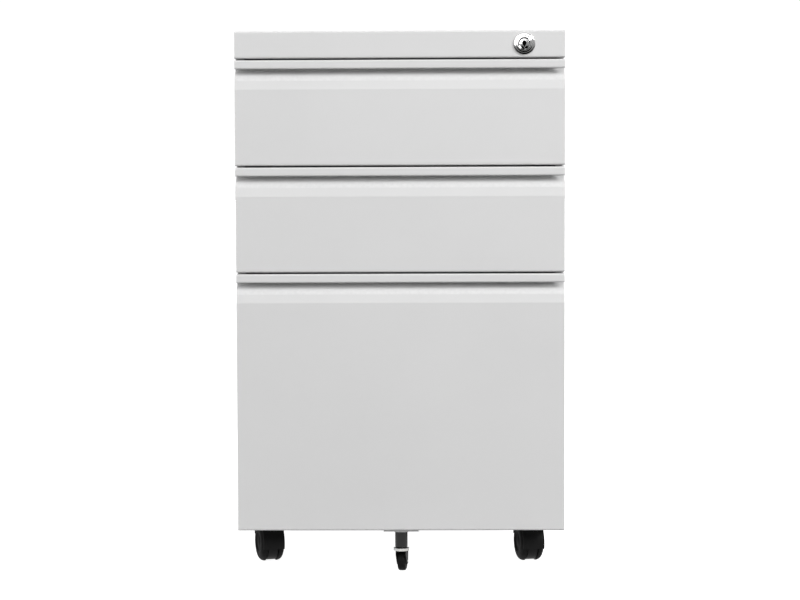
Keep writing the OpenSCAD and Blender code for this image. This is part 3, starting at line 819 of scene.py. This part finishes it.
for name in ["base_pan", "left_upright", "right_upright", "fifth_castor_bracket", "hanging_file_rails"]:
    soften(nodes[name], 0.2 * MM)
for drawer in DRAWERS:
    for name in ("backing_pan", "tray", "outer_slides", "middle_slides", "inner_slides"):
        soften(nodes[f"{drawer}_{name}"], 0.18 * MM)
soften(nodes["fifth_castor_fork"], 0.5 * MM, segments=3)
soften(nodes["fifth_castor_kingpin"], 0.3 * MM, segments=3)

# ---------- Floor, light and camera ----------

def floor():
    """Pale floor that the camera sees; it doesn't throw light back onto the cabinet."""
    mesh = bpy.data.meshes.new("studio_floor")
    radius = 30
    sides = 48
    rim = []
    for i in range(sides):
        a = 2 * math.pi * i / sides
        rim.append(Vector((radius * math.cos(a), radius * math.sin(a), 0)))
    mesh.from_pydata(rim, [], [list(range(sides))])
    obj = bpy.data.objects.new("studio_floor", mesh)
    bpy.context.scene.collection.objects.link(obj)
    material, tree, shader = new_material("pale_floor")
    shader.inputs["Base Color"].default_value = (0.8, 0.8, 0.8, 1)
    shader.inputs["Roughness"].default_value = 0.9
    shader.inputs["Specular IOR Level"].default_value = 0.0
    shader.inputs["Emission Color"].default_value = (1, 1, 1, 1)
    shader.inputs["Emission Strength"].default_value = 0.94
    mesh.materials.append(material)
    obj.visible_diffuse = False
    obj.visible_glossy = False


def backdrop():
    """White surround behind everything, seen only by the camera."""
    mesh = bpy.data.meshes.new("studio_backdrop")
    shell = bmesh.new()
    bmesh.ops.create_uvsphere(shell, u_segments=32, v_segments=16, radius=29)
    shell.to_mesh(mesh)
    shell.free()
    obj = bpy.data.objects.new("studio_backdrop", mesh)
    bpy.context.scene.collection.objects.link(obj)
    material, tree, shader = new_material("white_backdrop")
    shader.inputs["Base Color"].default_value = (0, 0, 0, 1)
    shader.inputs["Specular IOR Level"].default_value = 0.0
    shader.inputs["Emission Color"].default_value = (1, 1, 1, 1)
    shader.inputs["Emission Strength"].default_value = 1.05
    mesh.materials.append(material)
    for ray in ("diffuse", "glossy", "transmission", "volume_scatter", "shadow"):
        setattr(obj, "visible_" + ray, False)


def sky():
    """Soft light from all round, strongest from above and weak from below."""
    world = bpy.data.worlds.new("studio")
    bpy.context.scene.world = world
    world.use_nodes = True
    tree = world.node_tree
    place = add_node(tree, "TexCoord")
    split = add_node(tree, "SeparateXYZ")
    tree.links.new(place.outputs["Generated"], split.inputs[0])
    fac = ranged(tree, split.outputs["Z"], 0, 1, -0.35, 0.6)
    colour = blended(tree, fac, grey(0.16), grey(0.70))
    background = tree.nodes["Background"]
    tree.links.new(colour, background.inputs["Color"])
    background.inputs["Strength"].default_value = 1.0


def outward(azimuth, elevation):
    """Direction from the cabinet; azimuth 0 is straight in front, positive to the right."""
    a = math.radians(azimuth)
    e = math.radians(elevation)
    return Vector((math.sin(a) * math.cos(e), -math.cos(a) * math.cos(e), math.sin(e)))


def softbox(name, azimuth, elevation, distance, size, power, aim=(0, -0.25, 0.4)):
    """A large soft area light, aimed at the cabinet's front."""
    back = outward(azimuth, elevation)
    data = bpy.data.lights.new(name, "AREA")
    data.shape = "RECTANGLE"
    data.size, data.size_y = size
    data.energy = power
    obj = bpy.data.objects.new(name, data)
    obj.location = Vector(aim) + back * distance
    obj.rotation_mode = "QUATERNION"
    obj.rotation_quaternion = (-back).to_track_quat("-Z", "Y")
    bpy.context.scene.collection.objects.link(obj)


def card(name, centre, facing, size, glow=0.0):
    """A card that only reflections see: black to break them up, or white where it glows."""
    turn = Vector(facing).to_track_quat("-Z", "Y")
    corners = [(-0.5, -0.5), (0.5, -0.5), (0.5, 0.5), (-0.5, 0.5)]
    verts = [Vector(centre) + turn @ Vector((x * size[0], y * size[1], 0)) for x, y in corners]
    mesh = bpy.data.meshes.new(name)
    mesh.from_pydata(verts, [], [[0, 1, 2, 3]])
    obj = bpy.data.objects.new(name, mesh)
    bpy.context.scene.collection.objects.link(obj)
    material, tree, shader = new_material(name + "_surface")
    shader.inputs["Base Color"].default_value = (0, 0, 0, 1)
    shader.inputs["Specular IOR Level"].default_value = 0.0
    shader.inputs["Emission Color"].default_value = (1, 1, 1, 1)
    shader.inputs["Emission Strength"].default_value = glow
    mesh.materials.append(material)
    for ray in ("camera", "diffuse", "transmission", "volume_scatter", "shadow"):
        setattr(obj, "visible_" + ray, False)


def lock_flag(name, azimuth, elevation, distance, size):
    """A black card that faces the lock."""
    back = outward(azimuth, elevation)
    aim = Vector((lock_centre.x, front_y, lock_centre.z))
    card(name, aim + back * distance, -back, size)


def camera():
    """The photograph's view: from the front and a little above the middle, looking slightly down."""
    yaw, pitch, roll = math.radians(-0.94), math.radians(-3.52), math.radians(-0.23)
    ahead = Vector((math.sin(yaw) * math.cos(pitch), math.cos(yaw) * math.cos(pitch), math.sin(pitch)))
    right = Vector((math.cos(yaw), -math.sin(yaw), 0))
    up = right.cross(ahead)
    side = right * math.cos(roll) + up * math.sin(roll)
    top = up * math.cos(roll) - right * math.sin(roll)
    data = bpy.data.cameras.new("camera")
    data.sensor_width = 36
    data.lens = 98.75
    data.shift_x = 0.0206
    data.clip_end = 80
    obj = bpy.data.objects.new("camera", data)
    obj.matrix_world = Matrix.Translation((0.0227, -2.85, 0.492)) @ Matrix((
        (side.x, top.x, -ahead.x),
        (side.y, top.y, -ahead.y),
        (side.z, top.z, -ahead.z),
    )).to_4x4()
    bpy.context.scene.collection.objects.link(obj)
    bpy.context.scene.camera = obj


floor()
backdrop()
sky()
softbox("key", 48, 32, 4.2, (1.7, 1.3), 98)
softbox("front", -8, 18, 4.2, (3.2, 2.2), 58)
lock_flag("flag_left", -31, 42, 2.6, (1.1, 0.9))
lock_flag("flag_right", 16, 46, 2.6, (0.8, 0.9))
card("flag_low", (0, -1.9, 0.045), (0, 0, 1), (8.0, 3.14))
card("floor_glow", (0, -0.55, -0.005), (0, 0, 1), (1.6, 1.0), 0.9)
camera()
bpy.context.scene.view_settings.view_transform = "Standard"
